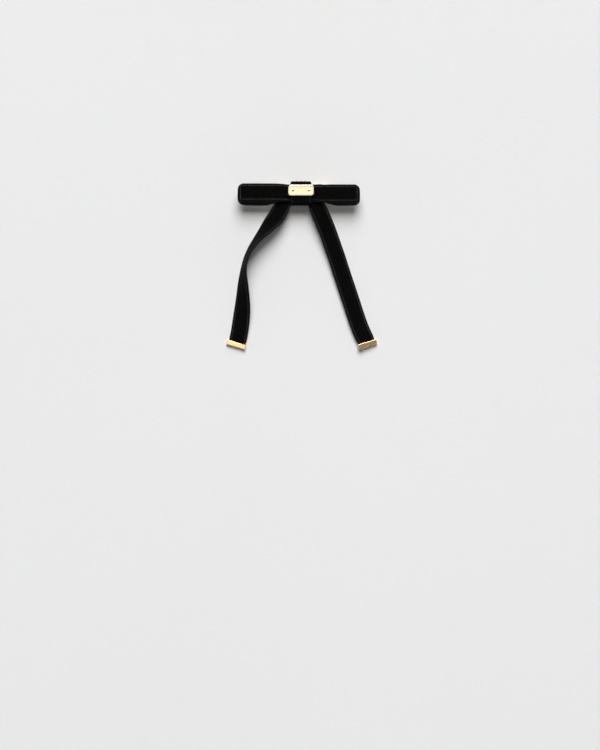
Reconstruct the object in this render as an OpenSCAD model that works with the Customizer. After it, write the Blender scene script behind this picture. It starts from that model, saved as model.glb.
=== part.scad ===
// Velvet ribbon hair bow on a sprung metal clip.
// It lies on its back: +Z out of the front of the bow, X across the loops, tails towards -Y.
// The origin is on the clip's resting face, straight under the middle of the knot.

/* [Ribbon] */
// Width of the velvet ribbon
ribbon_w = 15; // [14:0.5:15]
// Thickness of the ribbon, pile included
ribbon_t = 1.0; // [0.8:0.05:1.05]

/* [Loops] */
// Reach of the left loop from the middle of the knot
left_reach = 56.5; // [45:0.5:65]
// Reach of the right loop from the middle of the knot
right_reach = 52.5; // [45:0.5:65]
// Height of the middle of the front layer, out in the loop
loop_top_z = 14.6; // [14:0.1:17]
// Height of the middle of the back layer, out in the loop
loop_low_z = 8.4; // [8.2:0.1:9]

/* [Knot] */
// Width of the band round the knot
wrap_w = 19; // [16:0.5:20]
// Thickness of the band, which is folded double
wrap_t = 1.8; // [1.4:0.1:2]

/* [Plaque] */
// Width of the plaque
plaque_w = 23.4; // [18:0.1:27]
// Height of the plaque
plaque_h = 9.6; // [8:0.1:14]
// Rounding of the plaque's corners
plaque_round = 2.6; // [1:0.1:4]
// Thickness of the plaque
plaque_t = 1.0; // [0.8:0.1:1.4]

/* [Ferrules] */
// Length of a ferrule across the ribbon
ferrule_l = 16.8; // [16.4:0.1:18]
// Height of a ferrule along the ribbon
ferrule_h = 4.4; // [3.5:0.1:6]
// Thickness of a ferrule from face to face
ferrule_t = 2.8; // [2.4:0.1:3.2]

/* [Clip] */
// Width of the clip's arms
clip_w = 9; // [8:0.5:9]
// How far the thumb ends reach behind the middle of the knot
thumb_reach = 30; // [26:1:32]
// How far the jaw reaches past the middle of the knot
jaw_reach = 28; // [24:1:30]
// Thickness of the clip's sheet metal
sheet_t = 0.8; // [0.6:0.1:0.9]
// Thickness of the spring wire
wire_d = 0.8; // [0.6:0.1:0.9]
// Whole turns in the spring
spring_turns = 3; // [2:1:3]

/* [Hidden] */
$fn = 48;

// Heights of the stack at the knot, from the resting face up
plate_z = 6.5;                         // underside of the upper arm
tail_z = 8.7;                          // middle of the tails' thickness where they leave the knot
back_z = 10.0;                         // middle of the back layer at the knot
front_z = back_z + ribbon_t + 0.1;     // middle of the front layer at the knot
wrap_top_z = 14.1;                     // front of the band
plaque_z = wrap_top_z + 0.1;           // back of the plaque

// Pivot of the clip
pivot_x = -14;
pivot_z = 4;
pin_r = 0.8;
ear_r = 2.2;
ear_gap = 0.2;

// Each tuck ends just below the loops in a round roll, and the tail that follows turns about it
roll_y = -11.5;
roll_r = 0.56;
fold_y = roll_y - 0.7;                 // where the tail proper starts

velvet = "#151416";
gold = "#e3c27e";
steel = "#b9b4a6";

// ---- shared helpers ----

function unit(v) = v / norm(v);
function ease(u) = let (c = min(1, max(0, u))) c * c * (3 - 2 * c);
function arc(cx, cy, r, from, to, steps) =
    [for (i = [0:steps]) let (a = from + (to - from) * i / steps) [cx + r * cos(a), cy + r * sin(a)]];
function reversed(list) = [for (i = [len(list) - 1:-1:0]) list[i]];

// A smooth curve through the points of a route, a few steps to each stretch
function between(a, b, c, d, t) =
    0.5 * (2 * b + (c - a) * t + (2 * a - 5 * b + 4 * c - d) * t * t + (3 * b - a - 3 * c + d) * t * t * t);
function smooth(route, steps) =
    let (last = len(route) - 1)
    [for (i = [0:last - 1], s = [0:steps - 1])
        between(route[max(0, i - 1)], route[i], route[i + 1], route[min(last, i + 2)], s / steps),
     route[last]];

// Skins a list of rings, which all have the same number of points, into one closed solid
module skin(rings) {
    sides = len(rings[0]);
    last = len(rings) - 1;
    points = [for (ring = rings) each ring];
    walls = [for (i = [0:last - 1], k = [0:sides - 1])
        let (n = (k + 1) % sides) each [[i * sides + k, i * sides + n, (i + 1) * sides + n],
                                        [i * sides + k, (i + 1) * sides + n, (i + 1) * sides + k]]];
    caps = [[for (k = [sides - 1:-1:0]) k], [for (k = [0:sides - 1]) last * sides + k]];
    polyhedron(points = points, faces = concat(walls, caps), convexity = 6);
}

// Crosscut of a ribbon at one point of its route: x, y, z and how far its -X edge is tilted up
function ribbon_ring(p, ahead, w, t) =
    let (go = unit(ahead), across = unit(cross(go, [0, 0, 1])), up = cross(across, go),
         side = across * cos(p[3]) + up * sin(p[3]), face = up * cos(p[3]) - across * sin(p[3]),
         c = [p[0], p[1], p[2]])
    [c + side * w / 2 + face * t / 2, c + side * w / 2 - face * t / 2,
     c - side * w / 2 - face * t / 2, c - side * w / 2 + face * t / 2];

module ribbon_along(route) {
    path = smooth(route, 4);
    last = len(path) - 1;
    skin([for (i = [0:last])
        let (ahead = path[min(last, i + 1)] - path[max(0, i - 1)])
        ribbon_ring(path[i], [ahead[0], ahead[1], ahead[2]], ribbon_w, ribbon_t)]);
}

// ---- clip ----

module arm_outline() {
    translate([-thumb_reach + clip_w / 2, 0]) circle(d = clip_w);
    translate([-thumb_reach + clip_w / 2, -clip_w / 2]) square([thumb_reach + jaw_reach - clip_w, clip_w]);
    translate([jaw_reach - clip_w / 2, 0]) circle(d = clip_w);
}

// Ears stand on both sides: the lower arm's outside, the upper arm's just inside them
lower_ear_y = clip_w / 2 - sheet_t;
upper_ear_y = lower_ear_y - ear_gap - sheet_t;

module upper_arm() color(gold) difference() {
    union() {
        translate([0, 0, plate_z]) linear_extrude(sheet_t) arm_outline();
        for (side = [-1, 1])
            translate([0, side > 0 ? upper_ear_y + sheet_t : -upper_ear_y, 0]) rotate([90, 0, 0])
                linear_extrude(sheet_t) {
                    translate([pivot_x, pivot_z]) circle(r = ear_r);
                    translate([pivot_x - ear_r, pivot_z]) square([2 * ear_r, plate_z - pivot_z + sheet_t / 2]);
                }
    }
    translate([pivot_x, clip_w, pivot_z]) rotate([90, 0, 0]) cylinder(r = pin_r + 0.05, h = 2 * clip_w);
}

// Side wall of the lower arm: low under the band, then a row of teeth out to the tip
teeth = 7;
teeth_from = 11.4;
teeth_to = jaw_reach - 2.2;
wall_z = 3.6;
tooth_low = 5.1;
tooth_top = plate_z - 0.1;

module toothed_wall() {
    pitch = (teeth_to - teeth_from) / teeth;
    zigzag = [for (i = [0:teeth - 1]) each [[teeth_from + i * pitch, tooth_low],
                                            [teeth_from + (i + 0.5) * pitch, tooth_top]]];
    polygon(concat([[pivot_x - 8, sheet_t / 2], [pivot_x - 1.2, wall_z], [teeth_from - 0.8, wall_z]],
                   zigzag, [[teeth_to, tooth_low], [jaw_reach - 1.6, sheet_t / 2]]));
    translate([pivot_x, pivot_z]) circle(r = ear_r);
    translate([pivot_x - ear_r, sheet_t / 2]) square([2 * ear_r, pivot_z - sheet_t / 2]);
}

module lower_arm() color(gold) difference() {
    union() {
        linear_extrude(sheet_t) arm_outline();
        for (side = [-1, 1])
            translate([0, side > 0 ? lower_ear_y + sheet_t : -lower_ear_y, 0]) rotate([90, 0, 0])
                linear_extrude(sheet_t) toothed_wall();
    }
    translate([pivot_x, clip_w, pivot_z]) rotate([90, 0, 0]) cylinder(r = pin_r, h = 2 * clip_w);
}

module pivot_pin() color(steel) {
    head_y = clip_w / 2 + 0.1;
    head_t = 0.5;
    translate([pivot_x, 0, pivot_z]) rotate([90, 0, 0]) {
        cylinder(r = pin_r, h = 2 * head_y + head_t, center = true);
        for (side = [-1, 1])
            translate([0, 0, side * (head_y + head_t / 2)]) cylinder(r = pin_r + 0.5, h = head_t, center = true);
    }
}

// One wire: a leg under the upper arm, the coil round the pin, and a leg on the lower arm
coil_r = 1.55;
coil_half = 1.9;
leg_end_x = -24;

function coil_point(a, whole) =
    [pivot_x + coil_r * cos(90 - a), -coil_half + 2 * coil_half * a / whole, pivot_z + coil_r * sin(90 - a)];

module clip_spring() color(steel) {
    whole = 360 * spring_turns + 180;
    sides = 8;
    touch = wire_d / 2 + 0.06;
    wire = concat([[leg_end_x, -coil_half, plate_z - touch], [leg_end_x + 4, -coil_half, plate_z - touch - 0.18]],
                  [for (a = [0:15:whole]) coil_point(a, whole)],
                  [[leg_end_x + 4, coil_half, sheet_t + touch + 0.5], [leg_end_x, coil_half, sheet_t + touch]]);
    last = len(wire) - 1;
    skin([for (i = [0:last])
        let (go = unit(wire[min(last, i + 1)] - wire[max(0, i - 1)]),
             out = unit(cross(go, [0, 1, 0])), up = cross(out, go))
        [for (k = [0:sides - 1]) wire[i] + wire_d / 2 * (out * cos(360 * k / sides) - up * sin(360 * k / sides))]]);
}

// ---- velvet ----

waist = wrap_w / 2;                    // the layers lie flat together this far out from the middle
rise = 18;                             // length over which the front layer lifts off
dip_from = 25;                         // where the back layer starts to drop past the tails
dip = 10;

function front_at(x) = front_z + (loop_top_z - front_z) * ease((x - waist) / rise);
function back_at(x) = back_z + (loop_low_z - back_z) * ease((x - dip_from) / dip);

// Half of a layer's edge, out to one end of the bow: grow is half the ribbon's thickness, in or out
function loop_edge(reach, grow) =
    let (r = (loop_top_z - loop_low_z) / 2, end_x = reach - r - ribbon_t / 2, steps = 22)
    concat([for (i = [0:steps]) let (x = end_x * i / steps) [x, front_at(x) + grow]],
           arc(end_x, (loop_top_z + loop_low_z) / 2, r + grow, 80, -80, 10),
           [for (i = [steps:-1:0]) let (x = end_x * i / steps) [x, back_at(x) - grow]]);

module half_loop(reach) difference() {
    polygon(loop_edge(reach, ribbon_t / 2));
    polygon(loop_edge(reach, -ribbon_t / 2));
}

module loop_ribbon() color(velvet) translate([0, ribbon_w / 2, 0]) rotate([90, 0, 0]) linear_extrude(ribbon_w) {
    half_loop(right_reach);
    mirror([1, 0]) half_loop(left_reach);
}

// Gathered top of a tail, tucked behind the loops and under the band
module tuck(inner, corner_x, outer_x) {
    translate([0, 0, tail_z - ribbon_t / 2]) linear_extrude(ribbon_t)
        polygon([[0.3, -inner], [0.3, inner], [waist + 0.5, 5.5], [outer_x - 5.5, -2], [outer_x, roll_y],
                 [corner_x, roll_y], [max(corner_x, waist + 0.4), -6.4]]);
    translate([corner_x, roll_y, tail_z]) rotate([0, 90, 0]) cylinder(r = roll_r, h = outer_x - corner_x);
}

module left_tuck() color(velvet) mirror([1, 0, 0]) tuck(3.2, 10.1, 25.6);
module right_tuck() color(velvet) tuck(3.2, 9.9, 21.2);

// Routes of the tails: x, y, z of the middle, and how far the -X edge is tilted up
left_route = [[-13.5, -4, 8.7, 0], [-16.6, -10, 8.7, 0], [-19.6, -15.5, 8.7, -2], [-23.8, -22, 8.5, -10],
              [-28.6, -28.5, 8.3, -28], [-34.2, -35.5, 8.1, -50], [-40.6, -42.5, 7.9, -66], [-45.8, -49.5, 7.8, -75],
              [-49.3, -57, 7.7, -77], [-51.3, -65, 7.7, -76], [-52.3, -74, 7.5, -68], [-52.6, -83, 7.0, -58],
              [-52.7, -92, 6.2, -48], [-53.0, -101, 5.3, -37], [-53.8, -110, 4.4, -28], [-54.9, -119, 3.7, -22],
              [-56.1, -127, 2.7, -13], [-57.4, -132.8, 1.7, -3], [-58.8, -137.6, 1.4, 0]];
right_route = [[9.8, -4, 8.7, 0], [12.6, -10, 8.7, 0], [15.3, -15.5, 8.7, 0], [18.6, -23, 8.3, 3],
               [22.0, -31, 7.3, 7], [25.4, -40, 5.9, 10], [28.9, -49.5, 4.8, 12], [32.3, -59, 3.9, 13],
               [35.6, -69, 3.3, 13], [38.9, -79, 3.0, 12], [42.2, -89, 2.8, 11], [45.4, -99, 2.6, 10],
               [48.8, -109.5, 2.5, 9], [52.2, -119.5, 2.5, 8], [55.4, -127, 2.5, 7], [58.0, -132.2, 2.45, 7],
               [59.5, -136.8, 2.45, 7]];

// The tail proper starts at the fold line, so that it can lift there
module tail(route) intersection() {
    ribbon_along(route);
    translate([-100, -200 + fold_y, -10]) cube([200, 200, 60]);
}

module left_tail() color(velvet) tail(left_route);
module right_tail() color(velvet) tail(right_route);

// ---- metal ends of the tails ----

ferrule_turn = 16.8;                   // how far a ferrule is turned from square, outwards
right_roll = 7;                        // the right one rests on one end, as its ribbon is tilted
left_ferrule_at = [-58.3, -136.2, ferrule_t / 2];
right_ferrule_at = [59.4, -135.8, 2.45];

// A channel folded from sheet: open on top for the ribbon, closed at the bottom and at both ends
module ferrule(at, roll, turn) color(gold) translate(at) rotate([0, roll, turn])
    translate([0, 0, -ferrule_t / 2]) difference() {
    bevel = 0.35;
    translate([-ferrule_l / 2, 0, 0]) rotate([90, 0, 90]) linear_extrude(ferrule_l)
        polygon([[-ferrule_h / 2, bevel], [-ferrule_h / 2 + bevel, 0], [ferrule_h / 2 - bevel, 0],
                 [ferrule_h / 2, bevel], [ferrule_h / 2, ferrule_t - bevel],
                 [ferrule_h / 2 - bevel, ferrule_t], [-ferrule_h / 2 + bevel, ferrule_t],
                 [-ferrule_h / 2, ferrule_t - bevel]]);
    slot_w = ribbon_w + 0.6;
    slot_t = ribbon_t - 0.04;
    translate([-slot_w / 2, -ferrule_h / 2 + 0.7, (ferrule_t - slot_t) / 2]) cube([slot_w, ferrule_h, slot_t]);
}

module left_ferrule() ferrule(left_ferrule_at, 0, -ferrule_turn);
module right_ferrule() ferrule(right_ferrule_at, right_roll, ferrule_turn);

// ---- knot ----

// The band's crosscut: two big corners at the front, two small ones round the clip's upper arm
front_corner = [6.9, wrap_top_z - 3.6, 3.6];
back_corner = [clip_w / 2 + 0.1, plate_z, 2.0];

function band_edge(inset) =
    let (dy = front_corner[0] - back_corner[0], dz = front_corner[1] - back_corner[1],
         lean = atan2(dz, dy) - acos((back_corner[2] - front_corner[2]) / norm([dy, dz])),
         half = concat(arc(front_corner[0], front_corner[1], front_corner[2] - inset, 90, lean, 10),
                       arc(back_corner[0], back_corner[1], back_corner[2] - inset, lean, -90, 8)))
    concat(half, [for (p = reversed(half)) [-p[0], p[1]]]);

rivet_x = 7.2;
rivet_y = 2.1;
rivet_r = 0.55;

module rivet_places() for (side = [-1, 1]) translate([side * rivet_x, rivet_y, 0]) children();

module centre_wrap() color(velvet) difference() {
    translate([-wrap_w / 2, 0, 0]) rotate([90, 0, 90]) linear_extrude(wrap_w) difference() {
        polygon(band_edge(0));
        polygon(band_edge(wrap_t));
    }
    rivet_places() translate([0, 0, wrap_top_z - 2 * wrap_t]) cylinder(r = rivet_r + 0.05, h = 3 * wrap_t);
}

// Thread bound round the waist of the bow, turn beside turn, drawn in under the narrow tucks
module gather_thread() color("#1d1b1e") {
    thread = 0.4;
    turns = 5;
    low = tail_z - ribbon_t / 2 - 0.1;
    top = front_z + ribbon_t / 2 + 0.1;
    half = ribbon_w / 2 + 0.1;
    side_z = back_z - ribbon_t / 2 - 0.1;
    half_low = 4.3;
    edge = [[half - 0.1, top + thread], [half + thread, top - thread], [half + thread, side_z - 0.1],
            [half_low + 0.1, low - thread]];
    for (i = [0:turns - 1])
        translate([(i - (turns - 1) / 2) * thread * 1.5 - thread / 2, 0, 0]) rotate([90, 0, 90]) linear_extrude(thread)
            difference() {
                polygon(concat(edge, [for (p = reversed(edge)) [-p[0], p[1]]]));
                polygon([[-half, top], [half, top], [half, side_z], [half_low, low], [-half_low, low],
                         [-half, side_z]]);
            }
}

// Stitches that close the band, in a row across its back
module wrap_stitches() color("#1d1b1e") {
    stitch_r = 0.22;
    stitch_l = 2.4;
    count = 7;
    for (i = [0:count - 1])
        translate([(i - (count - 1) / 2) * 2.5, 0, back_corner[1] - back_corner[2] - stitch_r])
            rotate([90, 0, 25]) cylinder(r = stitch_r, h = stitch_l, center = true);
}

module plaque_outline() {
    side_x = plaque_w / 2 - plaque_round;
    side_y = plaque_h / 2 - plaque_round;
    for (x = [-side_x, side_x], y = [-side_y, side_y]) translate([x, y]) circle(r = plaque_round);
    square([plaque_w, 2 * side_y], center = true);
    square([2 * side_x, plaque_h], center = true);
}

plaque_y = 2.1;                        // middle of the plaque, a little above the middle of the knot

module plaque() color(gold) difference() {
    translate([0, plaque_y, plaque_z]) linear_extrude(plaque_t) plaque_outline();
    rivet_places() translate([0, 0, plaque_z - 1]) cylinder(r = rivet_r + 0.05, h = plaque_t + 2);
}

module plaque_rivets() color(gold) rivet_places() {
    head_r = 1.1;
    head_h = 0.45;
    under_z = wrap_top_z - wrap_t - 0.6;
    translate([0, 0, under_z]) cylinder(r = rivet_r, h = plaque_z + plaque_t - under_z + head_h / 2);
    translate([0, 0, plaque_z + plaque_t]) rotate_extrude()
        polygon(concat([[0, 0], [head_r, 0]], [for (a = [15:15:90]) [head_r * cos(a), head_h * sin(a)]]));
}

module plaque_washers() color(steel) rivet_places()
    translate([0, 0, wrap_top_z - wrap_t - 0.5]) difference() {
        cylinder(r = 1.5, h = 0.4);
        translate([0, 0, -1]) cylinder(r = rivet_r + 0.05, h = 3);
    }

upper_arm();
lower_arm();
pivot_pin();
clip_spring();
loop_ribbon();
left_tuck();
right_tuck();
left_tail();
right_tail();
left_ferrule();
right_ferrule();
gather_thread();
centre_wrap();
wrap_stitches();
plaque();
plaque_rivets();
plaque_washers();
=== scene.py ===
import math
import random

import bmesh
import bpy
import numpy as np
from mathutils import Matrix, Vector, noise


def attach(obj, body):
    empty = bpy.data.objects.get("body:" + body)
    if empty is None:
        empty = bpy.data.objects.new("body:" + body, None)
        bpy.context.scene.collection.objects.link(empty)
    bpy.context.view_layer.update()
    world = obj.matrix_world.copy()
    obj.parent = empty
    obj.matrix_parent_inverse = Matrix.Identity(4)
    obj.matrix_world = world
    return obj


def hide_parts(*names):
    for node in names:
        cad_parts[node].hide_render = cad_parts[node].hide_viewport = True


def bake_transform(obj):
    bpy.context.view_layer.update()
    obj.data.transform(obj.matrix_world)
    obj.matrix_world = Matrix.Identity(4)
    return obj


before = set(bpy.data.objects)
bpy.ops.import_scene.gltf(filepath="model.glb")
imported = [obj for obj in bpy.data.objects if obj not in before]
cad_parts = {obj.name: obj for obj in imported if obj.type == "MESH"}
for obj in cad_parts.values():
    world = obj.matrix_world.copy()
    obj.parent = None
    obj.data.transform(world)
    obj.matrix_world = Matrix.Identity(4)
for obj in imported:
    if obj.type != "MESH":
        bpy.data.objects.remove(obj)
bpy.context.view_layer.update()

mm = 0.001
print("hair bow: frame loaded,", len(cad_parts), "cad nodes")


# small sums used all over

def ease(u):
    u = np.clip(u, 0.0, 1.0)
    return u * u * (3.0 - 2.0 * u)


def unit(v):
    return v / np.linalg.norm(v)


def unitRows(v):
    return v / np.linalg.norm(v, axis=1)[:, None]


def runLength(line):
    # distance walked along a line, at each of its points
    return np.concatenate([[0], np.cumsum(np.linalg.norm(np.diff(line, axis=0), axis=1))])


def evenRing(line, step):
    # closed flat line, cut again into even steps: its points, where each is, and the whole length
    around = np.vstack([line, line[:1]])
    length = runLength(around)
    at = np.linspace(0, length[-1], int(length[-1] / step), endpoint=False)
    return np.column_stack([np.interp(at, length, around[:, k]) for k in (0, 1)]), at, length[-1]


def bump(u, middle, width):
    return np.exp(-((u - middle) / width) ** 2)


def smoothRoute(points, step):
    # smooth curve through the points, cut again into even steps; extra columns are carried along
    p = np.array(points, float)
    padded = np.vstack([2 * p[0] - p[1], p, 2 * p[-1] - p[-2]])
    fine = []
    for i in range(len(p) - 1):
        a, b, c, d = padded[i:i + 4]
        for t in np.linspace(0, 1, 24, endpoint=False):
            fine.append(0.5 * (2 * b + (c - a) * t + (2 * a - 5 * b + 4 * c - d) * t ** 2
                               + (3 * b - a - 3 * c + d) * t ** 3))
    fine.append(p[-1])
    fine = np.array(fine)
    length = runLength(fine[:, :3])
    count = max(2, int(round(length[-1] / step)) + 1)
    at = np.linspace(0, length[-1], count)
    return np.column_stack([np.interp(at, length, fine[:, k]) for k in range(p.shape[1])]), at


def patchNoise(a, b, size, seed):
    # soft noise over a surface, a value for each pair, patches about size across
    flatA, flatB = np.broadcast_arrays(a, b)
    out = [noise.noise(Vector((x / size, y / size, seed * 7.3)))
           for x, y in zip(flatA.ravel(), flatB.ravel())]
    return np.array(out).reshape(flatA.shape)


def makePiece(name, verts, faces, materials, faceMaterial=None, sharpDeg=40, extra=None):
    mesh = bpy.data.meshes.new(name)
    mesh.from_pydata([tuple(v) for v in verts], [], faces)
    for material in materials:
        mesh.materials.append(material)
    if faceMaterial is not None:
        mesh.polygons.foreach_set("material_index", faceMaterial)
    for key, values in (extra or {}).items():
        layer = mesh.attributes.new(key, "FLOAT", "POINT")
        layer.data.foreach_set("value", np.asarray(values, np.float32).ravel())
    work = bmesh.new()
    work.from_mesh(mesh)
    bmesh.ops.recalc_face_normals(work, faces=work.faces)
    work.to_mesh(mesh)
    work.free()
    mesh.shade_smooth()
    mesh.set_sharp_from_angle(angle=math.radians(sharpDeg))
    piece = bpy.data.objects.new(name, mesh)
    bpy.context.scene.collection.objects.link(piece)
    return piece


def joinParts(parts):
    # puts several (verts, faces) into one list
    verts, faces = [], []
    for partVerts, partFaces in parts:
        start = len(verts)
        verts.extend(partVerts)
        faces.extend([tuple(start + i for i in face) for face in partFaces])
    return verts, faces


def ringSkin(rings, closed=False, capped=True):
    # quads between rings that all have the same number of points
    count = len(rings)
    sides = len(rings[0])
    verts = [tuple(p) for ring in rings for p in ring]
    faces = []
    for i in range(count if closed else count - 1):
        j = (i + 1) % count
        for k in range(sides):
            n = (k + 1) % sides
            faces.append((i * sides + k, i * sides + n, j * sides + n, j * sides + k))
    if capped and not closed:
        faces.append(tuple(range(sides - 1, -1, -1)))
        faces.append(tuple((count - 1) * sides + k for k in range(sides)))
    return verts, faces


def turnedPart(profile, middle, axis, sides=40):
    # lathe: profile is (radius, height) along the axis, from one end to the other
    axis = unit(np.array(axis, float))
    first = unit(np.cross(axis, [0.31, 0.87, 0.38]))
    second = np.cross(axis, first)
    rings = []
    for radius, height in profile:
        rings.append([np.array(middle) + axis * height
                      + radius * (first * math.cos(a) + second * math.sin(a))
                      for a in np.linspace(0, 2 * math.pi, sides, endpoint=False)])
    return ringSkin(rings)


def sweptTube(points, radius, sides=12, lobes=0, lobeDepth=0.0, turnsPerM=0.0):
    # tube along a line of points, with lobes for the plies of a twisted thread
    p = np.array(points, float)
    go = unitRows(np.gradient(p, axis=0))
    side = unit(np.cross(go[0], [0.23, 0.41, 0.88]))     # any side not in line with the tube
    rings = []
    travelled = 0.0
    for i in range(len(p)):
        side = unit(side - go[i] * np.dot(side, go[i]))
        up = np.cross(go[i], side)
        if i:
            travelled += np.linalg.norm(p[i] - p[i - 1])
        ring = []
        for a in np.linspace(0, 2 * math.pi, sides, endpoint=False):
            r = radius * (1 + lobeDepth * math.cos(lobes * (a - travelled * turnsPerM * 2 * math.pi)))
            ring.append(p[i] + r * (side * math.cos(a) + up * math.sin(a)))
        rings.append(ring)
    return ringSkin(rings)


def softenEdges(piece, width, segments, angleDeg):
    soften = piece.modifiers.new("softEdges", "BEVEL")
    soften.width = width * mm
    soften.segments = segments
    soften.limit_method = "ANGLE"
    soften.angle_limit = math.radians(angleDeg)


# finishes

def newFinish(name, settings):
    material = bpy.data.materials.new(name)
    material.use_nodes = True
    tree = material.node_tree
    shader = tree.nodes["Principled BSDF"]
    for socket, value in settings.items():
        shader.inputs[socket].default_value = value
    return material, tree, shader


def addNode(tree, kind, **values):
    node = tree.nodes.new(kind)
    for key, value in values.items():
        if hasattr(node, key):
            setattr(node, key, value)
        else:
            node.inputs[key.replace("_", " ")].default_value = value
    return node


def attributeNode(tree, name):
    return addNode(tree, "ShaderNodeAttribute", attribute_name=name).outputs["Fac"]


def mathNode(tree, operation, a, b=None, clamp=False):
    node = tree.nodes.new("ShaderNodeMath")
    node.operation = operation
    node.use_clamp = clamp
    for socket, value in zip(node.inputs, (a, b)):
        if value is None:
            continue
        if isinstance(value, (int, float)):
            socket.default_value = value
        else:
            tree.links.new(value, socket)
    return node.outputs[0]


def surfaceVector(tree, acrossScale=1.0, alongScale=1.0):
    # place on the ribbon in mm: across it and along it
    join = tree.nodes.new("ShaderNodeCombineXYZ")
    for k, (name, scale) in enumerate((("across", acrossScale), ("along", alongScale))):
        tree.links.new(mathNode(tree, "MULTIPLY", attributeNode(tree, name), scale), join.inputs[k])
    return join.outputs[0]


def objectVector(tree, scale=(1.0, 1.0, 1.0)):
    coordinates = tree.nodes.new("ShaderNodeTexCoord")
    mapping = tree.nodes.new("ShaderNodeMapping")
    mapping.inputs["Scale"].default_value = scale
    tree.links.new(coordinates.outputs["Object"], mapping.inputs["Vector"])
    return mapping.outputs[0]


def noiseNode(tree, vector, scale, detail=3.0, roughness=0.55):
    node = addNode(tree, "ShaderNodeTexNoise", Scale=scale, Detail=detail, Roughness=roughness)
    tree.links.new(vector, node.inputs["Vector"])
    return node.outputs["Fac"]


def rampNode(tree, fac, stops):
    node = tree.nodes.new("ShaderNodeValToRGB")
    elements = node.color_ramp.elements
    while len(elements) < len(stops):
        elements.new(0.5)
    for element, (place, colour) in zip(elements, stops):
        element.position = place
        element.color = (*colour, 1.0)
    tree.links.new(fac, node.inputs["Fac"])
    return node.outputs["Color"]


def bumpNode(tree, height, distance, strength=1.0, under=None):
    node = addNode(tree, "ShaderNodeBump", Strength=strength, Distance=distance)
    tree.links.new(height, node.inputs["Height"])
    if under is not None:
        tree.links.new(under, node.inputs["Normal"])
    return node.outputs["Normal"]


pileLook = {
    "deep": (0.0009, 0.0009, 0.0010),
    "lift": (0.0031, 0.0030, 0.0032),
    # colour of the painted sheen line, standing in for light caught where the pile turns over
    "edgeSheenLine": (0.068, 0.068, 0.072),
    "edgeIn": 1.85,          # mm from the ribbon's edge to the painted sheen line where the pile turns over
    "edgeSoft": 0.50,
    "sheen": 0.020,
    "sheenRough": 0.45,
}


def pileFinish(name, halfWidth, line=1.0):
    # cut pile: almost black face on, with a painted sheen line where the pile turns over near an edge and
    # before each fold
    look = pileLook
    material, tree, shader = newFinish(name, {
        "Roughness": 0.95, "Specular IOR Level": 0.06,
        "Sheen Weight": look["sheen"], "Sheen Roughness": look["sheenRough"],
        "Sheen Tint": (0.95, 0.93, 0.94, 1.0)})
    nap = noiseNode(tree, surfaceVector(tree, 0.55, 0.16), 1.0, 4.0, 0.6)
    tufts = noiseNode(tree, surfaceVector(tree, 6.0, 5.0), 1.0, 2.0, 0.5)
    mixed = mathNode(tree, "ADD", mathNode(tree, "MULTIPLY", nap, 0.65),
                     mathNode(tree, "MULTIPLY", tufts, 0.35))
    body = rampNode(tree, mixed, [(0.36, look["deep"]), (0.68, look["lift"])])
    # painted sheen: a lighter line near each edge and before each fold stands in for light caught where the
    # pile turns over
    offMiddle = mathNode(tree, "ABSOLUTE", attributeNode(tree, "across"))
    fromEdge = mathNode(tree, "SUBTRACT", halfWidth, offMiddle)
    away = mathNode(tree, "ABSOLUTE", mathNode(tree, "SUBTRACT", fromEdge, look["edgeIn"]))
    band = mathNode(tree, "SUBTRACT", 1.0, mathNode(tree, "DIVIDE", away, look["edgeSoft"]), clamp=True)
    patches = noiseNode(tree, surfaceVector(tree, 0.3, 0.35), 1.0, 3.0)
    broken = mathNode(tree, "MULTIPLY_ADD", patches, 1.6)      # the painted sheen line fades in and out along the ribbon
    broken.node.inputs[2].default_value = -0.25
    band = mathNode(tree, "MAXIMUM", band, attributeNode(tree, "foldSheenLine"))
    sheenLineAmount = mathNode(tree, "MULTIPLY", mathNode(tree, "MULTIPLY", band, broken, clamp=True), line)
    mix = addNode(tree, "ShaderNodeMix", data_type="RGBA")
    tree.links.new(sheenLineAmount, mix.inputs[0])      # sockets 6 and 7 are the two colours
    tree.links.new(body, mix.inputs[6])
    mix.inputs[7].default_value = (*look["edgeSheenLine"], 1.0)
    tree.links.new(mix.outputs[2], shader.inputs["Base Color"])
    pile = noiseNode(tree, surfaceVector(tree, 9.0, 7.5), 1.0, 2.0, 0.6)
    tree.links.new(bumpNode(tree, pile, 0.12 * mm, 0.7), shader.inputs["Normal"])
    return material


weaveLook = {
    "dark": (0.0022, 0.0021, 0.0022),
    "light": (0.0125, 0.012, 0.0122),
    "ribPitch": 0.62,        # mm between the ribs across the back
    "ribDepth": 0.14,
}


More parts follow.
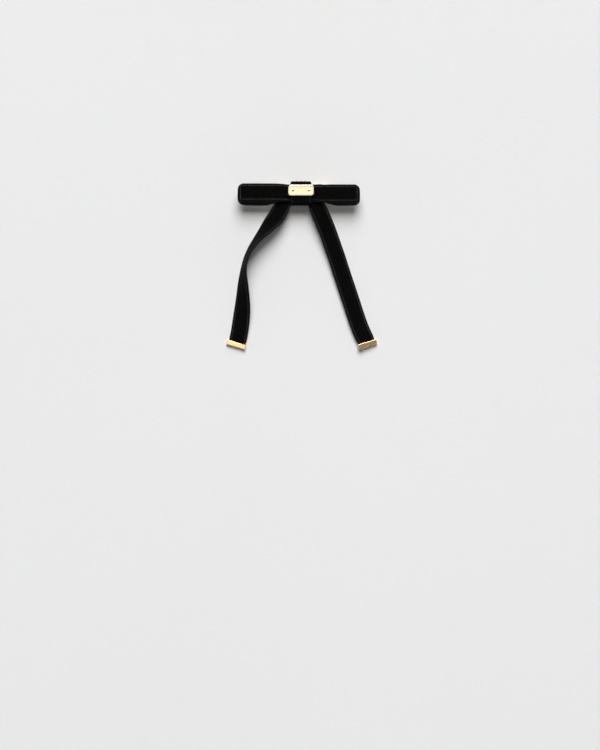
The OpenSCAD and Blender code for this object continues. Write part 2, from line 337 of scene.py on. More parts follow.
def weaveFinish(name, pitch, depth, light):
    # plain woven ground: fine ribs across the ribbon, crossed by the warp, with painted shade in the hollows
    # between ribs
    look = weaveLook
    material, tree, shader = newFinish(name, {
        "Roughness": 0.62, "Specular IOR Level": 0.35, "Sheen Weight": 0.06, "Sheen Roughness": 0.5})
    along = attributeNode(tree, "along")
    across = attributeNode(tree, "across")
    rib = mathNode(tree, "SINE", mathNode(tree, "MULTIPLY", along, 2 * math.pi / pitch))
    warp = mathNode(tree, "SINE", mathNode(tree, "MULTIPLY", across, 2 * math.pi / (pitch * 0.55)))
    woven = mathNode(tree, "MULTIPLY_ADD", warp, 0.22)
    tree.links.new(rib, woven.node.inputs[2])
    height = mathNode(tree, "MULTIPLY_ADD", woven, 0.42)
    height.node.inputs[2].default_value = 0.5
    # painted shade and highlight: the colour follows rib height, darker between the ribs and lighter on their
    # tops, in random patches
    crestPatches = noiseNode(tree, surfaceVector(tree, 0.8, 0.5), 1.0, 4.0)
    paintedRibShade = mathNode(tree, "MULTIPLY", height, mathNode(tree, "MULTIPLY", crestPatches, 1.5), clamp=True)
    lit = tuple(light * c for c in look["light"])
    colour = rampNode(tree, paintedRibShade, [(0.1, look["dark"]), (0.8, lit)])
    tree.links.new(colour, shader.inputs["Base Color"])
    tree.links.new(bumpNode(tree, height, depth * mm, 0.8), shader.inputs["Normal"])
    return material


goldLook = {
    # deeper and paler patches of each plating
    "yellow": ((0.93, 0.65, 0.31), (0.95, 0.70, 0.37)),
    # pale: the same gold made paler for the plaque and rivets, a painted highlight for their brighter
    # reflection
    "pale": ((0.94, 0.76, 0.50), (0.97, 0.81, 0.57)),
}


def goldFinish(name, plating, rough, satin=0.0):
    # plated metal: clean polish with hair scratches and a little handling haze
    material, tree, shader = newFinish(name, {"Metallic": 1.0, "Specular IOR Level": 0.5})
    vector = objectVector(tree)
    haze = noiseNode(tree, vector, 260.0, 4.0, 0.6)
    tint = rampNode(tree, haze, [(0.32, goldLook[plating][0]), (0.62, goldLook[plating][1])])
    tree.links.new(tint, shader.inputs["Base Color"])
    spread = tree.nodes.new("ShaderNodeMapRange")
    tree.links.new(haze, spread.inputs["Value"])
    for socket, value in (("From Min", 0.3), ("From Max", 0.7), ("To Min", rough[0]), ("To Max", rough[1])):
        spread.inputs[socket].default_value = value
    tree.links.new(spread.outputs[0], shader.inputs["Roughness"])
    hair = noiseNode(tree, objectVector(tree, (600.0, 9000.0, 2500.0)), 1.0, 3.0, 0.7)
    grain = noiseNode(tree, vector, 5200.0, 2.0, 0.5)
    first = bumpNode(tree, hair, 0.006 * mm, 0.5 + satin * 0.5)
    fine = bumpNode(tree, grain, (0.004 + 0.02 * satin) * mm, 0.5, under=first)
    tree.links.new(fine, shader.inputs["Normal"])
    return material


def steelFinish(name):
    material, tree, shader = newFinish(name, {"Metallic": 1.0})
    vector = objectVector(tree)
    haze = noiseNode(tree, vector, 700.0, 4.0, 0.6)
    tree.links.new(rampNode(tree, haze, [(0.3, (0.42, 0.40, 0.36)), (0.7, (0.62, 0.60, 0.55))]),
                   shader.inputs["Base Color"])
    tree.links.new(rampNode(tree, haze, [(0.3, (0.24,) * 3), (0.7, (0.40,) * 3)]), shader.inputs["Roughness"])
    drawn = noiseNode(tree, objectVector(tree, (900.0, 6000.0, 6000.0)), 1.0, 2.0)
    tree.links.new(bumpNode(tree, drawn, 0.008 * mm, 0.6), shader.inputs["Normal"])
    return material


def threadFinish(name):
    material, tree, shader = newFinish(name, {
        "Roughness": 0.7, "Specular IOR Level": 0.3, "Sheen Weight": 0.15, "Sheen Roughness": 0.4})
    vector = objectVector(tree)
    fibre = noiseNode(tree, vector, 6500.0, 3.0, 0.6)
    tree.links.new(rampNode(tree, fibre, [(0.3, (0.004, 0.004, 0.004)), (0.7, (0.016, 0.015, 0.015))]),
                   shader.inputs["Base Color"])
    tree.links.new(bumpNode(tree, fibre, 0.03 * mm, 0.6), shader.inputs["Normal"])
    return material


ribbonCut = {
    "width": 15.7,
    "thick": 1.0,
    "ground": 0.36,          # the woven ground's own thickness
    "selvedge": 0.62,        # bare woven edge beside the pile
    "shoulder": 0.42,        # how far the pile rounds over at its edge
    "crown": 0.05,
    "tuftNoise": 0.035,
    "step": 0.36,            # mm between crosscuts
}

# both pile finishes carry the painted sheen line near their edges; on the band it is fainter
pileBlack = pileFinish("black_pile", ribbonCut["width"] / 2)
bandPile = pileFinish("band_pile", 10.1, line=0.35)
selvedgeWeave = weaveFinish("selvedge_weave", 0.34, 0.05, 0.7)
ribbedBack = weaveFinish("ribbed_back", weaveLook["ribPitch"], weaveLook["ribDepth"], 1.0)
polishedGold = goldFinish("polished_gold", "yellow", (0.15, 0.20))
# painted highlight: the plaque's gold is the same plating as the metal ends, made paler where it reflects
# brighter light
paleLitGold = goldFinish("pale_lit_polished_gold", "pale", (0.13, 0.18))
clipGold = goldFinish("satin_gold", "yellow", (0.24, 0.40), satin=1.0)
springSteel = steelFinish("drawn_spring_steel")
blackThread = threadFinish("waxed_black_thread")
print("hair bow: finishes mixed")


# ribbon

def ribbonSection(half, cut):
    # crosscut from edge to edge and back: place across, height, and 0 pile, 1 selvedge, 2 back
    low = -cut["thick"] / 2
    foot = low + cut["ground"]
    top = cut["thick"] / 2
    bare, shoulder = cut["selvedge"], cut["shoulder"]
    edge = [(0.0, low + cut["ground"] * 0.5), (0.04, low + cut["ground"] * 0.85), (0.14, foot),
            (bare * 0.6, foot + 0.02), (bare, foot)]
    swell = [(bare + shoulder * (1 - math.cos(a)), foot + (top - foot) * math.sin(a))
             for a in np.radians([18, 36, 54, 70, 84])]
    left = [(-half + d, v) for d, v in edge + swell]
    inner = half - bare - shoulder
    middle = [(u, top + cut["crown"] * (1 - (u / inner) ** 2)) for u in np.linspace(-inner, inner, 23)]
    right = [(-u, v) for u, v in reversed(left)]
    under = [(u, low) for u in np.linspace(half - 0.05, -half + 0.05, 21)]
    under[0] = (half - 0.05, low + 0.05)
    under[-1] = (-half + 0.05, low + 0.05)
    section = left + middle + right + under
    lastTop = len(left + middle + right) - 1
    kinds = []
    for i in range(len(section)):
        if i < 4 or lastTop - 4 <= i < lastTop:
            kinds.append(1)
        elif i < lastTop:
            kinds.append(0)
        else:
            kinds.append(2)
    return np.array(section), kinds


def ribbonPoints(centre, side, face, u, v):
    # points across each station: u along its side, v along its face
    return (centre[:, None, :] + side[:, None, :] * u[:, :, None] + face[:, None, :] * v[:, :, None]) * mm


def layRibbon(name, centre, side, face, along, widths, closed, seed, shape):
    # lays a pile ribbon along stations; shape moves its points, given where they are on the ribbon
    cut = ribbonCut
    count = len(centre)
    sections = []
    for width in widths:
        section, kinds = ribbonSection(width / 2, cut)
        sections.append(section)
    u = np.array([s[:, 0] for s in sections])
    v = np.array([s[:, 1] for s in sections])
    sides = u.shape[1]
    run = np.repeat(along[:, None], sides, axis=1)
    onPile = np.array([k == 0 for k in kinds])[None, :] & (v > 0)
    tuft = patchNoise(u, run, 0.55, seed) + 0.6 * patchNoise(u, run, 0.23, seed + 5)
    v = v + onPile * cut["tuftNoise"] * tuft
    drift = patchNoise(np.sign(u) * 3.0, run, 2.1, seed + 9)
    u = u + 0.05 * drift * (np.abs(u) > widths[:, None] / 2 - 1.2)
    verts, faces = ringSkin(ribbonPoints(centre, side, face, u, shape(u, v, run)), closed=closed)
    loops = count if closed else count - 1
    faceMaterial = list(kinds) * loops + ([1, 1] if not closed else [])
    across = np.array([s[:, 0] * (cut["width"] / w) for s, w in zip(sections, widths)])
    return makePiece(name, verts, faces, [pileBlack, selvedgeWeave, ribbedBack], faceMaterial, 60,
                     {"across": across, "along": run})


# loops: one ribbon ring, flat over the knot and open at both ends

loopShape = {
    "leftReach": 56.5,
    "rightReach": 52.5,
    "frontKnot": 11.1,       # heights of the layers at the knot and out in the loops
    "frontOut": 14.6,
    "backKnot": 10.0,
    "backOut": 8.4,
    "waist": 9.5,
    "rise": 18.0,
    "dipFrom": 25.0,
    "dip": 10.0,
    "frontShift": (0.30, -0.65),     # how far the front layers lie off the middle line, left and right
    "backShift": (-3.5, -3.6),       # the back layers hang lower out in the loops
    "foldShift": (-2.4, -2.9),
    "cornerRound": (2.3, 1.1),       # at the top and at the bottom of each fold
    "waistWidth": 14.8,
    "foldSheenInset": 2.2,                 # a painted sheen line, for light caught where the pile opens, lies this far before each fold
    "pucker": (0.22, 0.14),          # short and long creases beside the knot
    "cup": 0.35,
    "ripple": 0.16,
}


def loopLine(settings):
    # the ring's middle line, from the knot out over the front, round each fold and back underneath
    frontAt = lambda x: (settings["frontKnot"] + (settings["frontOut"] - settings["frontKnot"])
                         * ease((x - settings["waist"]) / settings["rise"]))
    backAt = lambda x: (settings["backKnot"] + (settings["backOut"] - settings["backKnot"])
                        * ease((x - settings["dipFrom"]) / settings["dip"]))
    radius = (settings["frontOut"] - settings["backOut"]) / 2
    middle = (settings["frontOut"] + settings["backOut"]) / 2

    def half(reach):
        endX = reach - radius - ribbonCut["thick"] / 2
        xs = np.linspace(0, endX, 120)
        out = [(x, frontAt(x)) for x in xs]
        out += [(endX + radius * math.cos(a), middle + radius * math.sin(a))
                for a in np.radians(np.arange(85, -90, -5))]
        back = [(x, backAt(x)) for x in xs[::-1]]
        return out + back

    right = half(settings["rightReach"])
    left = [(-x, z) for x, z in half(settings["leftReach"])][::-1]
    return evenRing(np.array(right[:-1] + left[:-1]), ribbonCut["step"])


def makeLoops():
    settings = loopShape
    line, at, length = loopLine(settings)
    go = unitRows(np.roll(line, -1, 0) - np.roll(line, 1, 0))
    face = np.column_stack([-go[:, 1], np.zeros(len(line)), go[:, 0]])
    x, z = line[:, 0], line[:, 1]
    middle = (settings["frontOut"] + settings["backOut"]) / 2
    out = np.abs(x)
    onLeft = x < 0
    pick = lambda pair: np.where(onLeft, pair[0], pair[1])
    reach = pick((settings["leftReach"], settings["rightReach"]))
    frontness = ease((z - settings["backOut"]) / (settings["frontOut"] - settings["backOut"]))
    betweenLayers = (settings["frontKnot"] + settings["backKnot"]) / 2
    frontness = np.where(out < settings["dipFrom"], (z > betweenLayers).astype(float), frontness)
    halfRibbon = ribbonCut["width"] / 2
    nearEnd = ease((out - reach + 9) / 9)
    frontShift = pick(settings["frontShift"]) * ease((out - 6) / 16)
    backShift = pick(settings["backShift"]) * ease((out - 17) / 14) * (1 - nearEnd)
    backShift = backShift + pick(settings["foldShift"]) * nearEnd
    shift = frontness * frontShift + (1 - frontness) * backShift
    centre = np.column_stack([x, shift, z])
    side = np.repeat([[0.0, 1.0, 0.0]], len(line), axis=0)
    widths = settings["waistWidth"] + (ribbonCut["width"] - settings["waistWidth"]) * ease((out - 9) / 9)
    widths = widths + 0.35 * frontness * ease((out - 16) / 12)

    def shape(u, v, run):
        # corners round over at the folds, the layers cup a little, and pucker beside the knot
        xx = np.repeat(x[:, None], u.shape[1], 1)
        zz = np.repeat(z[:, None], u.shape[1], 1)
        far = np.abs(xx)
        short, long = settings["pucker"]
        puckers = (bump(far, 12.5, 4.5) * short * np.sin(u * 1.35 + np.sign(xx) * 0.8)
                   + bump(far, 15.0, 6.0) * long * np.sin(u * 0.75 - 1.0))
        lift = np.where(zz > middle, 1.0, -1.0)
        cup = settings["cup"] * lift * (1 - (u / halfRibbon) ** 2) * ease((far - 16) / 12)
        wave = np.sin(far * 0.21 + 1.3 * np.sign(xx)) * (u / halfRibbon)
        return v + puckers + cup + settings["ripple"] * wave * ease((far - 18) / 10)

    piece = layRibbon("loopRibbon", centre, side, face, at, widths, True, 1.0, shape)
    co = np.array([v.co for v in piece.data.vertices])
    across = np.array([d.value for d in piece.data.attributes["across"].data])
    sideReach = np.where(co[:, 0] < 0, settings["leftReach"], settings["rightReach"]) * mm
    fromFold = (sideReach - np.abs(co[:, 0])) / mm
    # painted sheen: a line across the front layer just before each fold, for the pile finish to lighten
    foldSheenLine = np.clip(1 - np.abs(fromFold - settings["foldSheenInset"]) / 0.6, 0, 1) * (co[:, 2] > middle * mm)
    foldSheenLine *= np.abs(across) < halfRibbon - 2.0
    layer = piece.data.attributes.new("foldSheenLine", "FLOAT", "POINT")
    layer.data.foreach_set("value", foldSheenLine)
    nearFold = ease((np.abs(co[:, 0]) - sideReach + 6.0 * mm) / (6.0 * mm))
    corner = (np.abs(across) / halfRibbon) ** 7
    cut = np.where(across > 0, settings["cornerRound"][0], settings["cornerRound"][1])
    co[:, 0] -= np.sign(co[:, 0]) * nearFold * corner * cut * mm
    piece.data.vertices.foreach_set("co", co.ravel())
    piece.data.update()
    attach(piece, "bow")
    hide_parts("loop_ribbon")
    print("hair bow: loops laid, ribbon", round(length, 1), "mm round")


# tails: two ribbons from under the knot down to their metal ends
# route is x, y, height and tilt in degrees; widths are distance along the ribbon and width there

tailDrape = {
    "slotWidth": 15.2,       # width and thickness that go into the metal end
    "squeeze": 0.36,
    "pleat": 0.204,          # gathers under the knot
    "cup": 0.30,
    "sway": 0.12,
}
leftTail = {
    "name": "tailRibbonLeft",
    "route": [[-1.2, 0.2, 8.7, 0], [-5.0, -0.3, 8.7, 0], [-9.0, -1.9, 8.7, 0], [-12.4, -5.2, 8.7, 0],
              [-15.8, -10, 8.7, 0], [-18.7, -15.5, 8.7, -3], [-22.9, -22, 8.5, -12],
              [-28.5, -28.5, 8.2, -31], [-34.6, -35.5, 7.8, -51], [-40.2, -42.5, 7.6, -65],
              [-45.0, -49.5, 7.6, -71],
              [-48.7, -57, 7.8, -73], [-51.0, -65, 7.8, -72], [-52.0, -74, 7.4, -64], [-52.2, -83, 6.8, -52],
              [-52.3, -92, 5.7, -40], [-52.6, -101, 4.2, -26], [-53.4, -110, 2.8, -14],
              [-54.5, -119, 2.0, -7],
              [-55.8, -127, 1.6, -3], [-57.1, -132.8, 1.4, 0], [-58.3, -136.9, 1.4, 0]],
    "widths": [[0, 6.0], [4, 6.6], [9, 9.2], [14, 12.0], [20, 14.2], [27, 15.4], [34, 15.7], [150, 15.7]],
    "bend": ((-0.0152, -0.0088, 0.0087), (-0.0180, -0.0150, 0.0087)),
    "body": "left_tail", "replaces": ("left_tuck", "left_tail"), "seed": 3.0, "turn": -16.8,
}
rightTail = {
    "name": "tailRibbonRight",
    "route": [[1.2, -0.2, 8.7, 0], [4.6, -1.0, 8.7, 0], [8.0, -2.9, 8.7, 0], [11.0, -6.0, 8.7, 0],
              [13.3, -10, 8.7, 0], [15.9, -15.5, 8.7, 0], [19.2, -23, 8.1, 3], [22.6, -31, 6.9, 6],
              [26.0, -40, 5.3, 8], [29.3, -49.5, 4.2, 9], [32.6, -59, 3.4, 9],
              [35.8, -69, 2.9, 9], [39.1, -79, 2.6, 8], [42.4, -89, 2.4, 8], [45.7, -99, 2.3, 7],
              [49.1, -109.5, 2.25, 7], [52.6, -119.5, 2.3, 7], [55.8, -127, 2.4, 7], [58.4, -132.2, 2.45, 7],
              [59.7, -136.3, 2.45, 7]],
    "widths": [[0, 6.0], [4, 6.6], [9, 9.6], [14, 13.0], [20, 15.3], [27, 15.9], [60, 16.1], [150, 16.1]],
    "bend": ((0.0128, -0.0088, 0.0087), (0.0158, -0.0150, 0.0087)),
    "body": "right_tail", "replaces": ("right_tuck", "right_tail"), "seed": 6.0, "turn": 16.8,
}


def makeTail(settings):
    stations, at = smoothRoute(settings["route"], ribbonCut["step"])
    centre = stations[:, :3]
    tilt = np.radians(stations[:, 3])[:, None]
    toEnd = at[-1] - at
    go = unitRows(np.gradient(centre, axis=0))
    across = unitRows(np.cross(go, [0.0, 0.0, 1.0]))
    # the last stretch turns square to the metal end
    turn = math.radians(settings["turn"])
    endTurn = np.array([-math.cos(turn), -math.sin(turn), 0.0])
    square = ease((9.0 - toEnd) / 7.0)[:, None]
    across = unitRows(across * (1 - square) + endTurn * square)
    up = unitRows(np.cross(across, go))
    side = across * np.cos(tilt) + up * np.sin(tilt)
    face = up * np.cos(tilt) - across * np.sin(tilt)
    table = np.array(settings["widths"], float)
    widths = np.interp(at, table[:, 0], table[:, 1])
    widths = widths + (tailDrape["slotWidth"] - widths) * ease((7.0 - toEnd) / 3.5)
    squeeze = 1 - tailDrape["squeeze"] * ease((5.0 - toEnd) / 2.0)

    def shape(u, v, run):
        # gathers at the knot, a shallow cup and sway in the middle, flat again at the metal end
        share = u / (ribbonCut["width"] / 2)
        loose = 1 - ease((run - at[-1] + 14) / 10)
        pleats = tailDrape["pleat"] * np.sin(u * 2.1 + 0.4) * (1 - ease((run - 4) / 14)) * (run > 0)
        cup = tailDrape["cup"] * (1 - share ** 2) * ease((run - 24) / 14) * loose
        sway = tailDrape["sway"] * np.sin(run * 0.17 + settings["seed"]) * share * loose
        return v * squeeze[:, None] + pleats + cup + sway

    piece = layRibbon(settings["name"], centre, side, face, at, widths, False, settings["seed"], shape)
    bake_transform(piece)
    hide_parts(*settings["replaces"])
    print("hair bow:", settings["name"], "laid,", round(at[-1], 1), "mm long")


# band round the knot

bandShape = {
    "width": 20.2,
    "thick": 1.8,
    "front": (6.9, 10.5, 3.6),       # corner of the crosscut: y, z and radius, outside
    "back": (4.6, 6.5, 2.0),
    "step": 0.3,
    "creaseDepth": 0.16,
    "taper": 0.09,                   # drawn in where it turns over the top edge
    "droop": 0.95,                   # hangs lower where it turns over the bottom edge
    "sideways": -0.15,
    "edge": 0.9,                     # how far the rolled edges reach in
}


def bandLine(settings, inset):
    fy, fz, fr = settings["front"]
    by, bz, br = settings["back"]
    dy, dz = fy - by, fz - bz
    lean = math.degrees(math.atan2(dz, dy) - math.acos((br - fr) / math.hypot(dy, dz)))
    half = []
    for y, z, r, start, stop, count in ((fy, fz, fr, 90, lean, 24), (by, bz, br, lean, -90, 14)):
        half += [(y + (r - inset) * math.cos(a), z + (r - inset) * math.sin(a))
                 for a in np.radians(np.linspace(start, stop, count))]
    whole = half + [(-y, z) for y, z in reversed(half)]
    return evenRing(np.array(whole), settings["step"])


def makeBand():
    settings = bandShape
    line, at, length = bandLine(settings, settings["thick"] / 2)
    # round the joins of the crosscut a little, as cloth does
    for _ in range(6):
        line = (np.roll(line, 1, 0) + 2 * line + np.roll(line, -1, 0)) / 4
    go = unitRows(np.roll(line, -1, 0) - np.roll(line, 1, 0))
    sideways = settings["sideways"]
    centre = np.column_stack([np.full(len(line), sideways), line[:, 0], line[:, 1]])
    face = np.column_stack([np.zeros(len(line)), -go[:, 1], go[:, 0]])
    outward = np.sign(np.sum(face * (centre - np.array([sideways, 0, 9.5])), axis=1).mean())
    face = face * outward
    half = settings["width"] / 2
    t = settings["thick"]
    e = settings["edge"]
    # folded double: soft rolled edges with a fine seam between the two layers
    over = [(u, t / 2 - 0.30 * (abs(u) / half) ** 4) for u in np.linspace(-half + e, half - e, 41)]
    turn = [(half - e + e * math.sin(a), (t / 2 - 0.3) * math.cos(a)) for a in np.radians([20, 40, 60, 78])]
    seam = [(half - 0.04, 0.06), (half - 0.34, 0.0), (half - 0.04, -0.06)]
    turnLow = [(half - e + e * math.sin(a), -(t / 2 - 0.15) * math.cos(a))
               for a in np.radians([78, 60, 40, 20])]
    under = [(u, -t / 2) for u in np.linspace(half - e, -half + e, 31)]
    rightEdge = turn + seam + turnLow
    leftEdge = [(-u, v) for u, v in reversed(rightEdge)]
    section = np.array(over + rightEdge + under + leftEdge)
    kinds = [0] * (len(over) + len(rightEdge)) + [2] * (len(under) - 1) + [0] * (len(leftEdge) + 1)
    count = len(line)
    sides = len(section)
    across = np.repeat(section[None, :, 0], count, 0)
    u = across
    v = np.repeat(section[None, :, 1], count, 0)
    run = np.repeat(at[:, None], sides, 1)
    y = np.repeat(line[:, :1], sides, 1)
    z = np.repeat(line[:, 1:], sides, 1)
    top = v > 0.1
    turning = ease((np.abs(y) - 5.2) / 3.0) * ease((z - 5.0) / 3.0)
    crease = np.sin(u * 1.55 + 0.9 + 0.05 * y) * 0.6 + np.sin(u * 2.6 - 0.7) * 0.4
    v = v + top * settings["creaseDepth"] * crease * (0.25 + turning)
    v = v + top * 0.03 * (patchNoise(u, run, 0.5, 21.0) + 0.6 * patchNoise(u, run, 0.22, 23.0))
    u = u * (1 - settings["taper"] * ease((y - 5.0) / 4.5))
    side = np.repeat([[1.0, 0.0, 0.0]], count, axis=0)
    centre[:, 1] -= settings["droop"] * ease((-centre[:, 1] - 3) / 6)
    verts, faces = ringSkin(ribbonPoints(centre, side, face, u, v), closed=True)
    piece = makePiece("knotBand", verts, faces, [bandPile, selvedgeWeave, ribbedBack], kinds * count, 60,
                      {"across": across, "along": run})
    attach(piece, "bow")
    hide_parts("centre_wrap")
    print("hair bow: band wrapped,", round(length, 1), "mm round")


# plaque and its rivets

plaqueShape = {
    "width": 23.4,
    "height": 9.6,
    "round": 2.6,
    "middle": (0.0, 2.1, 14.2),
    "thick": 1.0,
    "dome": 0.04,
    "border": 1.15,          # inset of the engraved border line
    "rivetX": 7.2,
}


def roundedOutline(width, height, corner, inset, perCorner=10):
    corner = max(corner - inset, 0.05)
    halfX, halfY = width / 2 - inset, height / 2 - inset
    points = []
    for cx, cy, start in ((1, 1, 0), (-1, 1, 90), (-1, -1, 180), (1, -1, 270)):
        for a in np.radians(np.linspace(start, start + 90, perCorner)):
            points.append(((halfX - corner) * cx + corner * math.cos(a),
                           (halfY - corner) * cy + corner * math.sin(a)))
    return np.array(points)


def makePlaque():
    settings = plaqueShape
    w, h, r, t = settings["width"], settings["height"], settings["round"], settings["thick"]
    groove = settings["border"]
    dome = settings["dome"]
    steps = [(0.18, 0.0), (0.0, 0.14), (0.0, t - 0.34), (0.05, t - 0.2), (0.16, t - 0.09), (0.30, t - 0.03),
             (0.45, t), (groove - 0.26, t + 0.003), (groove - 0.05, t - 0.016), (groove + 0.05, t - 0.016),
             (groove + 0.26, t + 0.004), (groove + 0.5, t + 0.006)]
    rings = [[(x, y, z) for x, y in roundedOutline(w, h, r, inset)] for inset, z in steps]
    for share in (0.85, 0.65, 0.45, 0.25, 0.08):
        base = roundedOutline(w, h, r, groove + 0.5) * share
        rings.append([(x, y, t + 0.006 + dome * (1 - share ** 2)) for x, y in base])
    back = [[(x * s, y * s, 0.0) for x, y in roundedOutline(w, h, r, 0.18)] for s in (0.05, 0.5)]
    rings = back + rings
    mx, my, mz = settings["middle"]
    rings = [[((x + mx) * mm, (y + my) * mm, (z + mz) * mm) for x, y, z in ring] for ring in rings]
    verts, faces = ringSkin(rings)
    piece = makePiece("knotPlaque", verts, faces, [paleLitGold], None, 30)
    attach(piece, "bow")
    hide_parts("plaque")
    parts = []
    for sideways in (-1, 1):
        top = t + 0.03
        profile = [(0.05, -2.6), (0.72, -2.58), (0.80, -2.45), (0.56, -2.32), (0.56, top - 0.02),
                   (1.12, top - 0.01), (1.16, top + 0.07), (1.05, top + 0.22), (0.82, top + 0.36),
                   (0.52, top + 0.45), (0.2, top + 0.49), (0.03, top + 0.495)]
        place = ((mx + sideways * settings["rivetX"]) * mm, my * mm, mz * mm)
        parts.append(turnedPart([(a * mm, b * mm) for a, b in profile], place, (0, 0, 1)))
    verts, faces = joinParts(parts)
    rivets = makePiece("plaqueRivets", verts, faces, [paleLitGold], None, 32)
    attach(rivets, "bow")
    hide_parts("plaque_rivets")
    print("hair bow: plaque and rivets set")


# metal ends of the tails

ferruleShape = {
    "length": 17.3, "height": 4.9, "thick": 2.8,
    "slotLong": 15.5, "slotThick": 0.86, "slotDeep": 3.6,
    "toe": 0.95,             # the closed side slopes out by this much towards the back
    "bevel": 0.32,
    # middle of each, its roll and its turn in degrees
    "places": {"left": ((-58.4, -136.3, 1.4), 0.0, -16.8), "right": ((59.8, -135.9, 2.45), 7.0, 16.8)},
}


def makeFerrule(sideName):
    settings = ferruleShape
    place, roll, turn = settings["places"][sideName]
    l, h, t = settings["length"] / 2, settings["height"] / 2, settings["thick"] / 2
    work = bmesh.new()
    toe = settings["toe"]
    corners = {}
    for ix, x in enumerate((-l, l)):
        for iy, y in enumerate((-h, h)):
            for iz, z in enumerate((-t, t)):
                yy = y + (toe if (iy == 0 and iz == 1) else 0.0)
                corners[ix, iy, iz] = work.verts.new((x, yy, z))
    quad = lambda keys: work.faces.new([corners[k] for k in keys])
    quad([(0, 0, 0), (0, 1, 0), (1, 1, 0), (1, 0, 0)])
    quad([(0, 0, 1), (1, 0, 1), (1, 1, 1), (0, 1, 1)])
    quad([(0, 0, 0), (0, 0, 1), (0, 1, 1), (0, 1, 0)])
    quad([(1, 0, 0), (1, 1, 0), (1, 1, 1), (1, 0, 1)])
    quad([(0, 0, 0), (1, 0, 0), (1, 0, 1), (0, 0, 1)])
    # the open side is a frame round the slot
    sl, st = settings["slotLong"] / 2, settings["slotThick"] / 2
    slot = ((-sl, -st), (sl, -st), (sl, st), (-sl, st))
    rim = [work.verts.new((x, h, z)) for x, z in slot]
    deep = [work.verts.new((x, h - settings["slotDeep"], z)) for x, z in slot]
    outer = [corners[0, 1, 0], corners[1, 1, 0], corners[1, 1, 1], corners[0, 1, 1]]
    for k in range(4):
        n = (k + 1) % 4
        work.faces.new([outer[k], rim[k], rim[n], outer[n]])
        work.faces.new([rim[k], deep[k], deep[n], rim[n]])
    work.faces.new(deep)
    bmesh.ops.recalc_face_normals(work, faces=work.faces)
    mesh = bpy.data.meshes.new("ribbonEnd" + sideName.title())
    work.to_mesh(mesh)
    work.free()
    mesh.materials.append(polishedGold)
    piece = bpy.data.objects.new(mesh.name, mesh)
    bpy.context.scene.collection.objects.link(piece)
    turnMatrix = Matrix.Rotation(math.radians(turn), 4, "Z") @ Matrix.Rotation(math.radians(roll), 4, "Y")
    mesh.transform(Matrix.Scale(mm, 4))
    mesh.transform(Matrix.Translation(Vector(place) * mm) @ turnMatrix)
    softenEdges(piece, settings["bevel"], 4, 35)
    mesh.shade_smooth()
    mesh.set_sharp_from_angle(angle=math.radians(30))
    body = sideName + "_tail"
    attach(piece, body)
    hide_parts(sideName + "_ferrule")


# thread round the waist, and the stitches that close the band

threadShape = {"radius": 0.2, "turns": 5, "pitch": 0.6, "plies": 3, "plyDepth": 0.14, "twist": 900.0}
stitchShape = {"count": 7, "pitch": 2.5, "half": 1.15, "radius": 0.19, "lean": 25.0,
               "backZ": 4.5, "sink": 0.24}


def waistLine():
    # crosscut of the gathered waist that the thread goes round: y and z
    corners = [(7.75, 9.35), (7.75, 11.85), (-7.75, 11.85), (-7.75, 9.35), (-4.35, 7.9), (4.35, 7.9)]
    line = []
    count = len(corners)
    for i in range(count):
        a, b, c = np.array(corners[i - 1]), np.array(corners[i]), np.array(corners[(i + 1) % count])
        p, q = b + unit(a - b) * 0.5, b + unit(c - b) * 0.5
        for s in np.linspace(0, 1, 6):
            line.append((1 - s) ** 2 * p + 2 * s * (1 - s) * b + s ** 2 * q)
    return np.array(line)


def makeThread():
    settings = threadShape
    corner = waistLine()
    around = np.vstack([corner, corner[:1]])
    length = runLength(around)
    perTurn = 260
    points = []
    rng = random.Random(4)
    wander = [rng.uniform(-0.04, 0.04) for _ in range(settings["turns"] + 1)]
    for i in range(settings["turns"] * perTurn):
        share = (i % perTurn) / perTurn
        turn = i / perTurn
        y = np.interp(share * length[-1], length, around[:, 0])
        z = np.interp(share * length[-1], length, around[:, 1])
        x = (turn - settings["turns"] / 2) * settings["pitch"] + np.interp(turn, range(len(wander)), wander)
        points.append((x * mm, y * mm, z * mm))
    twisted = (10, settings["plies"], settings["plyDepth"], settings["twist"])
    verts, faces = sweptTube(points, settings["radius"] * mm, *twisted)
    thread = makePiece("gatherThread", verts, faces, [blackThread], None, 60)
    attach(thread, "bow")
    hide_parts("gather_thread")
    # each stitch bows out below the band and goes in at both ends
    sewn = stitchShape
    parts = []
    for i in range(sewn["count"]):
        x0 = (i - (sewn["count"] - 1) / 2) * sewn["pitch"] + rng.uniform(-0.15, 0.15)
        lean = math.radians(sewn["lean"] + rng.uniform(-4, 4))
        arc = []
        for s in np.linspace(-1, 1, 26) * sewn["half"]:
            down = sewn["sink"] * (1 - (s / sewn["half"]) ** 2) - 0.06
            place = (x0 + s * math.sin(lean), s * math.cos(lean), sewn["backZ"] - down)
            arc.append([k * mm for k in place])
        parts.append(sweptTube(arc, sewn["radius"] * mm, *twisted))
    verts, faces = joinParts(parts)
    stitches = makePiece("bandStitches", verts, faces, [blackThread], None, 60)
    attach(stitches, "bow")
    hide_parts("wrap_stitches")
    print("hair bow: thread and stitches sewn")


# clip: two sheet metal arms on a pin, held shut by a coil spring

clipShape = {
    "width": 9.0, "thumb": 30.0, "jaw": 28.0, "sheet": 0.8,
    "upperZ": 6.5,
    "pivot": (-14.0, 4.0), "earR": 2.2, "pinR": 0.8, "pinHead": 1.3,
    "teeth": 7, "teethFrom": 11.4, "teethTo": 25.8, "toothLow": 5.1, "toothTop": 6.4, "wallZ": 3.6,
    "wallFrom": 8.0,         # the walls start this far behind the pin
    "wallTo": 1.6,           # and end this far before the jaw's tip
    "edge": 0.13,            # how far the sheet's cut edges are rounded
}


